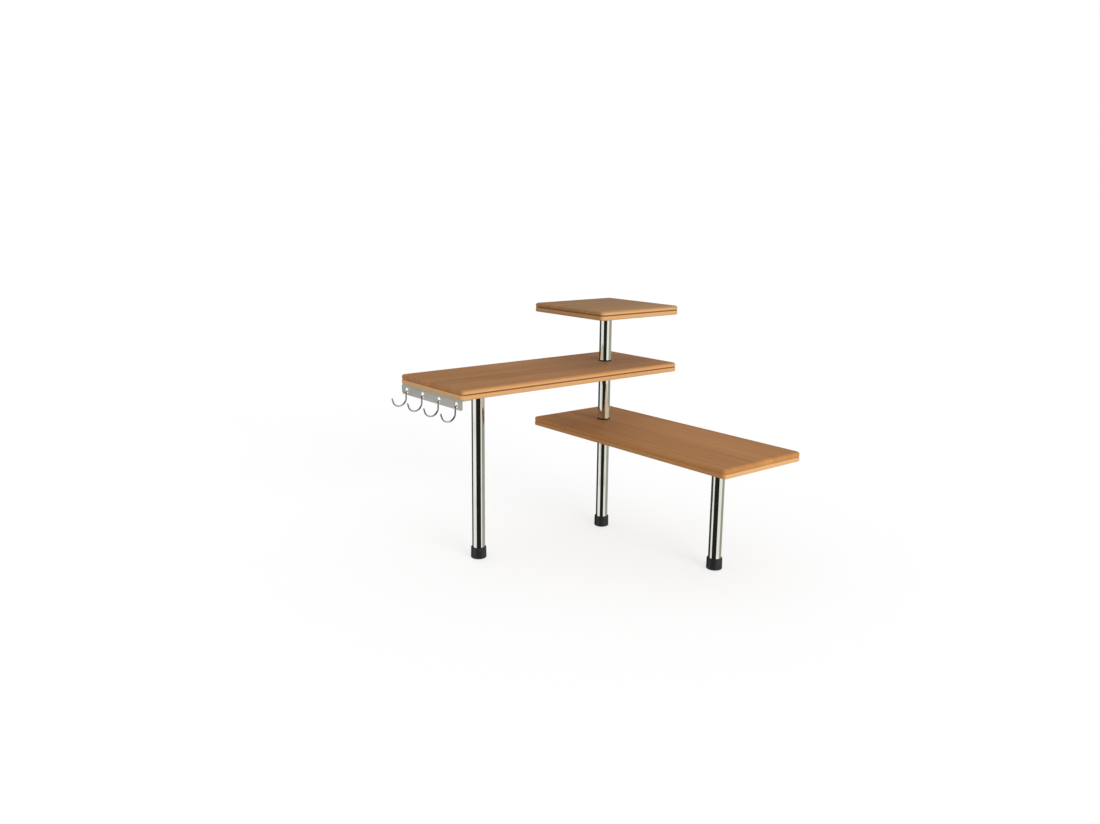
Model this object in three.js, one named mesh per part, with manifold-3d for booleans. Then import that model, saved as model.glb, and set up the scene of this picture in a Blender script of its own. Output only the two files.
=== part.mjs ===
// Corner kitchen shelf: three wooden boards on a stacked steel post, a leg under the far end of each long
// board, and a rail with wire hooks under the outer end of the middle board.
// Millimetres, +Z up. The origin lies on the worktop, under the middle of the post.
// The lower shelf runs along +X and the middle shelf along -Y, so the corner of the room is at -X, +Y.

import * as THREE from 'three';
import { mergeVertices } from 'three/addons/utils/BufferGeometryUtils.js';
import Module from 'manifold-3d';

const wasm = await Module();
wasm.setup();

// Boards
const BOARD_WIDTH = 170;
const BOARD_LENGTH = 430;
const BOARD_THICKNESS = 14.5;
const BOARD_CORNER_RADIUS = 6;
const BOARD_NOSING_RADIUS = 4; // upper edges
const BOARD_LOWER_EDGE_RADIUS = 1.5;

// Groove routed round the edge of each board
const GROOVE_WIDTH = 2;
const GROOVE_DEPTH = 1;
const GROOVE_DROP = 6; // from the board's top face to the upper side of the groove

// Height of each board's top face above the worktop
const TOP_SHELF_HEIGHT = 385;
const MIDDLE_SHELF_HEIGHT = 290;
const LOWER_SHELF_HEIGHT = 190;

// Steel tubes of the post and the legs
const TUBE_DIAMETER = 20;
const TUBE_WALL = 1;
const LEG_INSET = 85; // from the far end of a long board to the axis of its leg

// Foot caps
const FOOT_HEIGHT = 18;
const FOOT_FLOOR = 4;
const FOOT_WALL = 1.7;
const FOOT_FLARE = 0.3;
const FOOT_EDGE = 0.8;

// Plastic plugs in the tube ends
const PLUG_LENGTH = 20;
const PLUG_FLANGE_THICKNESS = 1.6;
const PLUG_FLANGE_OVERHANG = 0.6;

// Threaded studs, and the inserts that take them in the boards
const STUD_DIAMETER = 8;
const STUD_GRIP = 15; // length screwed into a plug
const STUD_END_GAP = 1.5; // left free at the blind end of an insert
const INSERT_WALL = 2;
const INSERT_COVER = 4; // wood left above an insert

// Hook rail: a steel angle whose flange is screwed up under the board
const RAIL_THICKNESS = 1.5;
const RAIL_HEIGHT = 15;
const RAIL_FLANGE = 16;
const RAIL_END_MARGIN = 3; // from the board's long edge to the rail's end
const RAIL_SETBACK = 0.5; // from the board's end to the rail's outer face
const RAIL_CORNER_RADIUS = 4;
const RAIL_BEND_RADIUS = 1; // inside the bend
const RAIL_HOLE_DIAMETER = 9;
const RAIL_WEB = 2.2; // metal left under each hole

// Screws that hold the rail
const SCREW_DIAMETER = 3.5;
const SCREW_HEAD_DIAMETER = 7;
const SCREW_HEAD_HEIGHT = 2;
const SCREW_COVER = 5; // wood left above a screw's hole
const SCREW_SPACING = 90;

// Wire hooks
const HOOK_COUNT = 4;
const HOOK_END_INSET = 14.5; // from the rail's end to the nearest hook
const HOOK_WIRE = 2.5;
const HOOK_INNER_RADIUS = 10.5;
const HOOK_SHANK = 6.5; // straight wire from the rail's web down to the middle of the bow
const HOOK_SWEEP = THREE.MathUtils.degToRad(165); // turn of the bow
const HOOK_TIP = 5; // straight end after the bow
const HOOK_EYE_ROOM = 2.2; // free space behind the rail inside the upper bend
const HOOK_TAIL = 4; // straight end behind the rail

// Gap left round pieces that turn, slide in or are clamped
const CLEARANCE = 0.3;

// How far a cutting shape runs past the face it cuts
const OVERCUT = 1;

// Fineness of round faces
const TUBE_SIDES = 32;
const FASTENER_SIDES = 16;
const CORNER_DIVISIONS = 3;
const EDGE_DIVISIONS = 2;
const HOLE_DIVISIONS = 8;
const WIRE_SIDES = 8;
const HOOK_STEPS = 36;

// Sizes that follow from the ones above
const POST_INSET = BOARD_WIDTH / 2;
const BOARD_REACH = BOARD_LENGTH - POST_INSET;
const LEG_REACH = BOARD_REACH - LEG_INSET;
const TUBE_RADIUS = TUBE_DIAMETER / 2;
const TUBE_BORE = TUBE_RADIUS - TUBE_WALL;
const STUD_RADIUS = STUD_DIAMETER / 2;
const STUD_HOLE = STUD_RADIUS + CLEARANCE;
const INSERT_RADIUS = STUD_HOLE + INSERT_WALL;
const INSERT_LENGTH = BOARD_THICKNESS - INSERT_COVER;
const FLANGE_STACK = PLUG_FLANGE_THICKNESS + CLEARANCE;

// Finishes, one new material for each piece
function finish(color, roughness, metalness) {
  return new THREE.MeshStandardMaterial({ color, roughness, metalness });
}
const wood = () => finish(0x9a724f, 0.5, 0);
const polishedSteel = () => finish(0xd6d6d0, 0.12, 1);
const brushedSteel = () => finish(0xa5a8a0, 0.4, 1);
const zincSteel = () => finish(0xb4b2a8, 0.45, 1);
const blackPlastic = () => finish(0x232427, 0.45, 0);

// A closed geometry with only its shared points
function welded(geometry) {
  geometry.deleteAttribute('normal');
  geometry.deleteAttribute('uv');
  return mergeVertices(geometry);
}

function solid(geometry) {
  const closed = welded(geometry);
  const vertProperties = new Float32Array(closed.attributes.position.array);
  const triVerts = new Uint32Array(closed.index.array);
  return new wasm.Manifold(new wasm.Mesh({ numProp: 3, vertProperties, triVerts }));
}

function geometryOf(body) {
  const mesh = body.getMesh();
  const geometry = new THREE.BufferGeometry();
  geometry.setAttribute('position', new THREE.BufferAttribute(mesh.vertProperties, 3));
  geometry.setIndex(new THREE.BufferAttribute(mesh.triVerts, 1));
  return geometry;
}

// Round bar along Z
function bar(radius, low, high) {
  const geometry = new THREE.CylinderGeometry(radius, radius, high - low, FASTENER_SIDES);
  geometry.rotateX(Math.PI / 2);
  return geometry.translate(0, 0, (low + high) / 2);
}

// Turned piece about Z from a profile of [radius, height] points, up the outside first
function turned(profile, sides = TUBE_SIDES) {
  const points = profile.map(([radius, height]) => new THREE.Vector2(radius, height));
  points.push(points[0].clone());
  return welded(new THREE.LatheGeometry(points, sides).rotateX(Math.PI / 2));
}

function addMesh(parent, name, geometry, material) {
  const mesh = new THREE.Mesh(geometry, material);
  mesh.name = name;
  parent.add(mesh);
  return mesh;
}

// Outline of a board in its own frame: post at the origin, length along +X, drawn in on every side by inset
function boardOutline(length, inset, OutlineClass) {
  const radius = BOARD_CORNER_RADIUS - inset;
  const west = -POST_INSET + inset;
  const east = length - POST_INSET - inset;
  const south = -BOARD_WIDTH / 2 + inset;
  const north = BOARD_WIDTH / 2 - inset;
  const outline = new OutlineClass();
  outline.moveTo(west + radius, south);
  outline.absarc(east - radius, south + radius, radius, -Math.PI / 2, 0);
  outline.absarc(east - radius, north - radius, radius, 0, Math.PI / 2);
  outline.absarc(west + radius, north - radius, radius, Math.PI / 2, Math.PI);
  outline.absarc(west + radius, south + radius, radius, Math.PI, Math.PI * 1.5);
  outline.closePath();
  return outline;
}

// Slab between two heights, with both its edges rounded
function roundedSlab(length, low, high, radius) {
  const slab = new THREE.ExtrudeGeometry(boardOutline(length, 0, THREE.Shape), {
    depth: high - low - 2 * radius,
    curveSegments: CORNER_DIVISIONS,
    bevelThickness: radius,
    bevelSize: radius,
    bevelOffset: -radius,
    bevelSegments: EDGE_DIVISIONS,
  });
  return solid(slab.translate(0, 0, low + radius));
}

// Board with rounded edges and a groove routed round it, its top face at z = 0
function boardBlank(length) {
  const nosed = roundedSlab(length, -2 * BOARD_THICKNESS, 0, BOARD_NOSING_RADIUS);
  const eased = roundedSlab(length, -BOARD_THICKNESS, BOARD_THICKNESS, BOARD_LOWER_EDGE_RADIUS);

  const cutterOutline = boardOutline(length, -GROOVE_DEPTH, THREE.Shape);
  cutterOutline.holes.push(boardOutline(length, GROOVE_DEPTH, THREE.Path));
  const cutter = new THREE.ExtrudeGeometry(cutterOutline, {
    depth: GROOVE_WIDTH,
    curveSegments: CORNER_DIVISIONS,
    bevelEnabled: false,
  });
  cutter.translate(0, 0, -GROOVE_DROP - GROOVE_WIDTH);
  return nosed.intersect(eased).subtract(solid(cutter));
}

// Hole drilled up from the underside of a board, whose top face is at z = 0
function drilled(board, x, y, radius, depth) {
  const drill = bar(radius, -BOARD_THICKNESS - OVERCUT, -BOARD_THICKNESS + depth).translate(x, y, 0);
  return board.subtract(solid(drill));
}

function drilledThrough(board, x, y, radius) {
  return drilled(board, x, y, radius, BOARD_THICKNESS + OVERCUT);
}

function drilledForInsert(board, x, y) {
  return drilled(board, x, y, INSERT_RADIUS + CLEARANCE, INSERT_LENGTH + CLEARANCE);
}

function tube(low, high) {
  return turned([
    [TUBE_RADIUS, low],
    [TUBE_RADIUS, high],
    [TUBE_BORE, high],
    [TUBE_BORE, low],
  ]);
}

// Plug for the upper end of a tube, its flange's flat face at z = 0 and its body hanging down
function plug() {
  const bodyRadius = TUBE_BORE - CLEARANCE;
  const flangeRadius = TUBE_RADIUS + PLUG_FLANGE_OVERHANG;
  return turned([
    [bodyRadius, -PLUG_LENGTH],
    [bodyRadius, -PLUG_FLANGE_THICKNESS],
    [flangeRadius, -PLUG_FLANGE_THICKNESS],
    [flangeRadius, 0],
    [STUD_HOLE, 0],
    [STUD_HOLE, -PLUG_LENGTH],
  ]);
}

// Foot cap with a cup for the tube's lower end
function foot() {
  const cupRadius = TUBE_RADIUS + CLEARANCE;
  const rimRadius = cupRadius + FOOT_WALL;
  const baseRadius = rimRadius + FOOT_FLARE;
  return turned([
    [0, 0],
    [baseRadius - FOOT_EDGE, 0],
    [baseRadius, FOOT_EDGE],
    [rimRadius, FOOT_HEIGHT - FOOT_EDGE],
    [rimRadius - FOOT_EDGE, FOOT_HEIGHT],
    [cupRadius, FOOT_HEIGHT],
    [cupRadius, FOOT_FLOOR],
    [0, FOOT_FLOOR],
  ]);
}

// Threaded sleeve let into the underside of a board, whose underside is at z = 0
function insert() {
  return turned([
    [INSERT_RADIUS, 0],
    [INSERT_RADIUS, INSERT_LENGTH],
    [STUD_HOLE, INSERT_LENGTH],
    [STUD_HOLE, 0],
  ], FASTENER_SIDES);
}

// Stud between a plug below and an insert above, the board's underside at z = 0
function blindStud() {
  return welded(bar(STUD_RADIUS, -CLEARANCE - STUD_GRIP, INSERT_LENGTH - STUD_END_GAP));
}

// Stud through a board into the plugs on both sides, the board's top face at z = 0
function throughStud() {
  return welded(bar(STUD_RADIUS, -BOARD_THICKNESS - CLEARANCE - STUD_GRIP, CLEARANCE + STUD_GRIP));
}

const shelf = new THREE.Group();

// Post: three tubes stacked on the worktop, with a board clamped at each joint
const lowerUnderside = LOWER_SHELF_HEIGHT - BOARD_THICKNESS;
const middleUnderside = MIDDLE_SHELF_HEIGHT - BOARD_THICKNESS;
const topUnderside = TOP_SHELF_HEIGHT - BOARD_THICKNESS;

addMesh(shelf, 'post_foot', foot(), blackPlastic());
const postTubes = [
  ['post_tube_lower', FOOT_FLOOR, lowerUnderside - FLANGE_STACK],
  ['post_tube_middle', LOWER_SHELF_HEIGHT + FLANGE_STACK, middleUnderside - FLANGE_STACK],
  ['post_tube_upper', MIDDLE_SHELF_HEIGHT + FLANGE_STACK, topUnderside - FLANGE_STACK],
];
for (const [name, low, high] of postTubes) {
  addMesh(shelf, name, tube(low, high), polishedSteel());
}

const plugsUnderBoards = [
  ['lower_tube_top_plug', lowerUnderside],
  ['middle_tube_top_plug', middleUnderside],
  ['upper_tube_top_plug', topUnderside],
];
for (const [name, underside] of plugsUnderBoards) {
  addMesh(shelf, name, plug(), blackPlastic()).position.z = underside - CLEARANCE;
}

const plugsOnBoards = [
  ['middle_tube_bottom_plug', LOWER_SHELF_HEIGHT],
  ['upper_tube_bottom_plug', MIDDLE_SHELF_HEIGHT],
];
for (const [name, topFace] of plugsOnBoards) {
  const bottomPlug = addMesh(shelf, name, plug(), blackPlastic());
  bottomPlug.rotation.x = Math.PI;
  bottomPlug.position.z = topFace + CLEARANCE;
}

addMesh(shelf, 'lower_shelf_stud', throughStud(), zincSteel()).position.z = LOWER_SHELF_HEIGHT;
addMesh(shelf, 'middle_shelf_stud', throughStud(), zincSteel()).position.z = MIDDLE_SHELF_HEIGHT;
addMesh(shelf, 'top_shelf_stud', blindStud(), zincSteel()).position.z = topUnderside;

// Square top shelf, screwed on the end of the post
const topBoard = drilledForInsert(boardBlank(BOARD_WIDTH), 0, 0);
addMesh(shelf, 'top_shelf', geometryOf(topBoard), wood()).position.z = TOP_SHELF_HEIGHT;
addMesh(shelf, 'top_shelf_insert', insert(), zincSteel()).position.z = topUnderside;

// Leg under the far end of a long board, in the frame of that board's arm
function addLeg(arm, prefix, underside) {
  const leg = new THREE.Group();
  leg.position.x = LEG_REACH;
  arm.add(leg);
  addMesh(leg, `${prefix}_leg_tube`, tube(FOOT_FLOOR, underside - FLANGE_STACK), polishedSteel());
  addMesh(leg, `${prefix}_leg_plug`, plug(), blackPlastic()).position.z = underside - CLEARANCE;
  addMesh(leg, `${prefix}_leg_stud`, blindStud(), zincSteel()).position.z = underside;
  addMesh(leg, `${prefix}_leg_insert`, insert(), zincSteel()).position.z = underside;
  addMesh(leg, `${prefix}_leg_foot`, foot(), blackPlastic());
}

function longBoard() {
  const board = drilledThrough(boardBlank(BOARD_LENGTH), 0, 0, STUD_HOLE);
  return drilledForInsert(board, LEG_REACH, 0);
}

// Lower shelf, along +X
const lowerArm = new THREE.Group();
shelf.add(lowerArm);
addMesh(lowerArm, 'lower_shelf', geometryOf(longBoard()), wood()).position.z = LOWER_SHELF_HEIGHT;
addLeg(lowerArm, 'lower', lowerUnderside);

// Middle shelf, turned to run along -Y, drilled for the rail's screws
const middleArm = new THREE.Group();
middleArm.rotation.z = -Math.PI / 2;
shelf.add(middleArm);

const railFace = BOARD_REACH - RAIL_SETBACK;
const railTop = middleUnderside - CLEARANCE;
const railBottom = railTop - RAIL_HEIGHT;
const screwX = railFace - (RAIL_THICKNESS + RAIL_FLANGE) / 2;
const screwHole = SCREW_DIAMETER / 2 + CLEARANCE;
const screwHoleDepth = BOARD_THICKNESS - SCREW_COVER;
const screwLength = RAIL_THICKNESS + screwHoleDepth;

let middleBoard = longBoard();
for (const side of [-1, 1]) {
  middleBoard = drilled(middleBoard, screwX, (side * SCREW_SPACING) / 2, screwHole, screwHoleDepth);
}
addMesh(middleArm, 'middle_shelf', geometryOf(middleBoard), wood()).position.z = MIDDLE_SHELF_HEIGHT;
addLeg(middleArm, 'middle', middleUnderside);

// Rail: the section of a bent angle along the board's end, trimmed to round lower corners, then drilled
const railHalf = BOARD_WIDTH / 2 - RAIL_END_MARGIN;
const webTop = railBottom + RAIL_WEB;
const firstHook = HOOK_END_INSET - railHalf;
const hookPitch = (-2 * firstHook) / (HOOK_COUNT - 1);
const hookPlaces = Array.from({ length: HOOK_COUNT }, (_, i) => firstHook + i * hookPitch);

function railAngle() {
  const outerBend = RAIL_BEND_RADIUS + RAIL_THICKNESS;
  const section = new THREE.Shape();
  section.moveTo(-RAIL_FLANGE, -RAIL_THICKNESS);
  section.absarc(-outerBend, -outerBend, RAIL_BEND_RADIUS, Math.PI / 2, 0, true);
  section.lineTo(-RAIL_THICKNESS, -RAIL_HEIGHT);
  section.lineTo(0, -RAIL_HEIGHT);
  section.absarc(-outerBend, -outerBend, outerBend, 0, Math.PI / 2);
  section.lineTo(-RAIL_FLANGE, 0);
  section.closePath();
  const angle = new THREE.ExtrudeGeometry(section, {
    depth: 2 * railHalf,
    curveSegments: EDGE_DIVISIONS,
    bevelEnabled: false,
  });
  angle.rotateX(Math.PI / 2);
  return solid(angle.translate(railFace, railHalf, railTop));
}

function railFrontTrim() {
  const front = new THREE.Shape();
  front.moveTo(-railHalf - OVERCUT, railTop + OVERCUT);
  front.lineTo(-railHalf - OVERCUT, railBottom + RAIL_CORNER_RADIUS);
  front.lineTo(-railHalf, railBottom + RAIL_CORNER_RADIUS);
  front.absarc(-railHalf + RAIL_CORNER_RADIUS, railBottom + RAIL_CORNER_RADIUS, RAIL_CORNER_RADIUS,
    Math.PI, Math.PI * 1.5);
  front.absarc(railHalf - RAIL_CORNER_RADIUS, railBottom + RAIL_CORNER_RADIUS, RAIL_CORNER_RADIUS,
    -Math.PI / 2, 0);
  front.lineTo(railHalf + OVERCUT, railBottom + RAIL_CORNER_RADIUS);
  front.lineTo(railHalf + OVERCUT, railTop + OVERCUT);
  front.closePath();
  for (const y of hookPlaces) {
    const hole = new THREE.Path();
    hole.absarc(y, webTop + RAIL_HOLE_DIAMETER / 2, RAIL_HOLE_DIAMETER / 2, 0, Math.PI * 2);
    front.holes.push(hole);
  }
  const trim = new THREE.ExtrudeGeometry(front, {
    depth: RAIL_FLANGE + 2 * OVERCUT,
    curveSegments: HOLE_DIVISIONS,
    bevelEnabled: false,
  });
  trim.rotateX(Math.PI / 2);
  trim.rotateZ(Math.PI / 2);
  return solid(trim.translate(railFace - RAIL_FLANGE - OVERCUT, 0, 0));
}

let rail = railAngle().intersect(railFrontTrim());
for (const side of [-1, 1]) {
  const drill = bar(screwHole, railTop - RAIL_THICKNESS - OVERCUT, railTop + OVERCUT);
  rail = rail.subtract(solid(drill.translate(screwX, (side * SCREW_SPACING) / 2, 0)));
}
addMesh(middleArm, 'hook_rail', geometryOf(rail), brushedSteel());

// Round-headed screw driven up through the flange, the flange's lower face at z = 0
function railScrew() {
  return turned([
    [0, -SCREW_HEAD_HEIGHT],
    [SCREW_HEAD_DIAMETER / 4, -SCREW_HEAD_HEIGHT],
    [SCREW_HEAD_DIAMETER / 2, -SCREW_HEAD_HEIGHT / 2],
    [SCREW_HEAD_DIAMETER / 2, 0],
    [SCREW_DIAMETER / 2, 0],
    [SCREW_DIAMETER / 2, screwLength - SCREW_DIAMETER],
    [0, screwLength],
  ], FASTENER_SIDES);
}
for (const [name, side] of [['rail_screw_back', -1], ['rail_screw_front', 1]]) {
  const screw = addMesh(middleArm, name, railScrew(), zincSteel());
  screw.position.set(screwX, (side * SCREW_SPACING) / 2, railTop - RAIL_THICKNESS - CLEARANCE);
}

// Wire hook: over the web under a hole of the rail, down in front of the rail, and round in an open bow
function wireHook() {
  const wireRadius = HOOK_WIRE / 2;
  const eyeRadius = (RAIL_THICKNESS + HOOK_EYE_ROOM + CLEARANCE) / 2 + wireRadius;
  const bowRadius = HOOK_INNER_RADIUS + wireRadius;
  const shankX = railFace + CLEARANCE + wireRadius;
  const tailX = shankX - 2 * eyeRadius;
  const bowX = shankX + bowRadius;
  const bowZ = webTop - HOOK_SHANK;
  const bowEnd = Math.PI + HOOK_SWEEP;
  const tipX = bowX + bowRadius * Math.cos(bowEnd) - HOOK_TIP * Math.sin(bowEnd);
  const tipZ = bowZ + bowRadius * Math.sin(bowEnd) + HOOK_TIP * Math.cos(bowEnd);

  const route = new THREE.Path();
  route.moveTo(tailX, webTop - HOOK_TAIL);
  route.absarc(tailX + eyeRadius, webTop, eyeRadius, Math.PI, 0, true);
  route.absarc(bowX, bowZ, bowRadius, Math.PI, bowEnd);
  route.lineTo(tipX, tipZ);
  const points = route.getSpacedPoints(HOOK_STEPS).map((point) => new THREE.Vector3(point.x, 0, point.y));

  const wire = new THREE.Shape();
  wire.absarc(0, 0, wireRadius, 0, Math.PI * 2);
  return welded(new THREE.ExtrudeGeometry(wire, {
    steps: HOOK_STEPS,
    curveSegments: WIRE_SIDES / 2,
    extrudePath: new THREE.CatmullRomCurve3(points),
  }));
}
hookPlaces.forEach((y, i) => {
  addMesh(middleArm, `hook_${i + 1}`, wireHook(), polishedSteel()).position.y = y;
});

export default shelf;
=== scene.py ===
import math

import bmesh
import bpy
from mathutils import Matrix, Vector


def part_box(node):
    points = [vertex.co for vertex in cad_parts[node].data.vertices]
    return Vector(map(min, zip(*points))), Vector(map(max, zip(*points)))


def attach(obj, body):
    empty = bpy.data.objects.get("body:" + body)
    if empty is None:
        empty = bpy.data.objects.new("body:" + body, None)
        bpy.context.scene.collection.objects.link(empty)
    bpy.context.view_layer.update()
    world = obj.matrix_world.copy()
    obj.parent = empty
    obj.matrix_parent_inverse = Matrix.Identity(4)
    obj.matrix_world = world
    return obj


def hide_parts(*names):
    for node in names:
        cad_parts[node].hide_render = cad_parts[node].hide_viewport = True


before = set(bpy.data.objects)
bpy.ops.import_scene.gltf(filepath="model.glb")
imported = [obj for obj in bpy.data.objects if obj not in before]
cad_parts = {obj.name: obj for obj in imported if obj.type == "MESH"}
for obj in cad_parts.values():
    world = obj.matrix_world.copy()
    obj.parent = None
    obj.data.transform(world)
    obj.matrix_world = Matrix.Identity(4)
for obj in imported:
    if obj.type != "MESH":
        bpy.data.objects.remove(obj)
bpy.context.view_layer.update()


# Foot caps: black plastic cups, injection moulded with a satin skin and a slight flare to the base.
# Each one is pushed over the lower end of a tube until the tube stands on the floor of the cup.
MM = 0.001
FOOT_RIM_RADIUS = 12.0 * MM
FOOT_BASE_RADIUS = 12.3 * MM
FOOT_CUP_RADIUS = 10.3 * MM
FOOT_HEIGHT = 18.0 * MM
FOOT_FLOOR = 4.0 * MM
FOOT_BASE_ROUNDING = 2.2 * MM
FOOT_RIM_ROUNDING = 0.7 * MM
FOOT_MOUTH_CHAMFER = 0.35 * MM
FOOT_BASE_STEPS = 8
ROUND_SIDES = 96
SHARP_ANGLE = math.radians(32)
PLASTIC_BLACK = (0.0130, 0.0140, 0.0145, 1.0)
PLASTIC_WORN = (0.0300, 0.0315, 0.0320, 1.0)
PLASTIC_SKIN = (2600, 2600, 2600)
PLASTIC_RUBS = (190, 190, 60)
PLASTIC_RUBBED = (0.48, 0.78)
PLASTIC_ROUGHNESS = (0.36, 0.50)
PLASTIC_RELIEF = (0.25, 0.06 * MM)
FOOT_SHINE = 0.3
MOST_CLOUDS = (0.3, 0.7)


def corner_arc(centre_a, centre_b, radius, start, end, steps=5):
    """Points of an arc in a profile, both ends included, with its angles in degrees."""
    points = []
    for step in range(steps + 1):
        angle = math.radians(start + (end - start) * step / steps)
        points.append((centre_a + radius * math.cos(angle), centre_b + radius * math.sin(angle)))
    return points


def turned_mesh(profile, axis_x, axis_y):
    """A profile of (radius, height) points, up the outside first, spun once round an upright axis."""
    spun = bmesh.new()
    rings = []
    for radius, height in profile:
        if radius == 0:
            rings.append([spun.verts.new((axis_x, axis_y, height))])
            continue
        ring = []
        for side in range(ROUND_SIDES):
            angle = 2 * math.pi * side / ROUND_SIDES
            ring.append(spun.verts.new((
                axis_x + radius * math.cos(angle), axis_y + radius * math.sin(angle), height)))
        rings.append(ring)
    pairs = list(zip(rings, rings[1:]))
    if len(rings[0]) > 1:
        pairs.append((rings[-1], rings[0]))
    for lower, upper in pairs:
        for side in range(ROUND_SIDES):
            following = (side + 1) % ROUND_SIDES
            corners = [lower[side % len(lower)], lower[following % len(lower)],
                       upper[following % len(upper)], upper[side % len(upper)]]
            spun.faces.new(list(dict.fromkeys(corners)))
    bmesh.ops.recalc_face_normals(spun, faces=spun.faces)
    return spun


def finished_piece(name, shape, finish, slot, body, *nodes):
    """Turns a shape into a smooth object with its finish, on its body, in place of its CAD nodes."""
    for face in shape.faces:
        face.smooth = True
    for edge in shape.edges:
        if len(edge.link_faces) == 2 and edge.calc_face_angle() > SHARP_ANGLE:
            edge.smooth = False
    mesh = bpy.data.meshes.new(name)
    shape.to_mesh(mesh)
    shape.free()
    mesh.materials.append(finish)
    piece = bpy.data.objects.new(name, mesh)
    bpy.context.scene.collection.objects.link(piece)
    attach(piece, body)
    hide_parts(*nodes)
    return piece


def new_finish(name):
    """An empty finish: the material, its node tree and its shader."""
    finish = bpy.data.materials.new(name)
    finish.use_nodes = True
    return finish, finish.node_tree, finish.node_tree.nodes["Principled BSDF"]


def add_node(tree, kind, inputs=None, **settings):
    """A node with its settings, and its inputs, each a number, a colour or another node's output."""
    node = tree.nodes.new(kind)
    for setting, value in settings.items():
        setattr(node, setting, value)
    for socket, value in (inputs or {}).items():
        if isinstance(value, bpy.types.NodeSocket):
            tree.links.new(value, node.inputs[socket])
        else:
            node.inputs[socket].default_value = value
    return node


def place_on_piece(tree):
    """Where a point lies on its own piece, in metres, so that the pattern moves with the piece."""
    return add_node(tree, "ShaderNodeTexCoord").outputs["Object"]


def stretched_noise(tree, place, stretch, detail=3.0, roughness=0.55, distortion=0.0):
    """Cloudy values from 0 to 1, with so many clouds to the metre along each axis."""
    scaled = add_node(tree, "ShaderNodeVectorMath", {0: place, 1: stretch}, operation="MULTIPLY")
    noise = add_node(tree, "ShaderNodeTexNoise", {
        "Vector": scaled.outputs[0], "Scale": 1.0, "Detail": detail,
        "Roughness": roughness, "Distortion": distortion})
    return noise.outputs["Fac"]


def spread(tree, value, span, result=(0.0, 1.0)):
    """A value moved from its own span to another one and held inside it."""
    return add_node(tree, "ShaderNodeMapRange", {
        "Value": value, "From Min": span[0], "From Max": span[1],
        "To Min": result[0], "To Max": result[1]}).outputs["Result"]


def arithmetic(tree, operation, first, second):
    """Two values added, multiplied or the like."""
    return add_node(tree, "ShaderNodeMath", {0: first, 1: second}, operation=operation).outputs[0]


def blended(tree, factor, first, second):
    """Two colours mixed by a factor."""
    return add_node(tree, "ShaderNodeMix", {0: factor, 6: first, 7: second}, data_type="RGBA").outputs[2]


def raised(tree, shader, height, relief):
    """Fine relief from a height value, with a strength and a depth in metres."""
    strength, depth = relief
    bump = add_node(tree, "ShaderNodeBump", {"Height": height, "Strength": strength, "Distance": depth})
    tree.links.new(bump.outputs["Normal"], shader.inputs["Normal"])


def moulded_plastic(name, shine):
    """Black plastic with a fine moulded skin, rubbed paler in patches by handling."""
    finish, tree, shader = new_finish(name)
    place = place_on_piece(tree)
    skin = stretched_noise(tree, place, PLASTIC_SKIN, detail=2.0)
    rubs = stretched_noise(tree, place, PLASTIC_RUBS, detail=4.0)
    tree.links.new(blended(tree, spread(tree, rubs, PLASTIC_RUBBED), PLASTIC_BLACK, PLASTIC_WORN),
                   shader.inputs["Base Color"])
    tree.links.new(spread(tree, rubs, MOST_CLOUDS, PLASTIC_ROUGHNESS), shader.inputs["Roughness"])
    shader.inputs["Specular IOR Level"].default_value = shine
    raised(tree, shader, skin, PLASTIC_RELIEF)
    return finish


foot_plastic = moulded_plastic("satin_black_foot_plastic", FOOT_SHINE)
base_centre = (FOOT_BASE_RADIUS - FOOT_BASE_ROUNDING, FOOT_BASE_ROUNDING)
rim_centre = (FOOT_RIM_RADIUS - FOOT_RIM_ROUNDING, FOOT_HEIGHT - FOOT_RIM_ROUNDING)
foot_profile = (
    [(0, 0)]
    + corner_arc(*base_centre, FOOT_BASE_ROUNDING, -90, 0, steps=FOOT_BASE_STEPS)
    + corner_arc(*rim_centre, FOOT_RIM_ROUNDING, 0, 90)
    + [(FOOT_CUP_RADIUS + FOOT_MOUTH_CHAMFER, FOOT_HEIGHT),
       (FOOT_CUP_RADIUS, FOOT_HEIGHT - FOOT_MOUTH_CHAMFER),
       (FOOT_CUP_RADIUS, FOOT_FLOOR),
       (0, FOOT_FLOOR)])


def middle_of(node):
    """The middle of a CAD node as seen from above, which is the axis of a round one."""
    low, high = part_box(node)
    return (low.x + high.x) / 2, (low.y + high.y) / 2


for name, node, body in (
        ("post_foot_cap", "post_foot", "post"),
        ("middle_leg_foot_cap", "middle_leg_foot", "middle_arm"),
        ("lower_leg_foot_cap", "lower_leg_foot", "lower_arm")):
    cap = turned_mesh(foot_profile, *middle_of(node))
    finished_piece(name, cap, foot_plastic, "foot_plastic", body, node)


# Tubes: thin-walled steel, 20 mm across, cut square, deburred and polished to a mirror along their length.
# Three stack up the post with a board clamped at each joint, and one stands under each long board's far end.
TUBE_RADIUS = 10.0 * MM
TUBE_BORE = 9.0 * MM
TUBE_DEBURR = 0.25 * MM
STEEL_BRIGHT = (0.80, 0.80, 0.74, 1.0)
STEEL_DULL = (0.69, 0.69, 0.63, 1.0)
STEEL_POLISH_LINES = (900, 900, 14)
STEEL_HAZE = (38, 38, 16)
STEEL_HAZED = (0.40, 0.75)
STEEL_ROUGHNESS = (0.045, 0.070)

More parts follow.
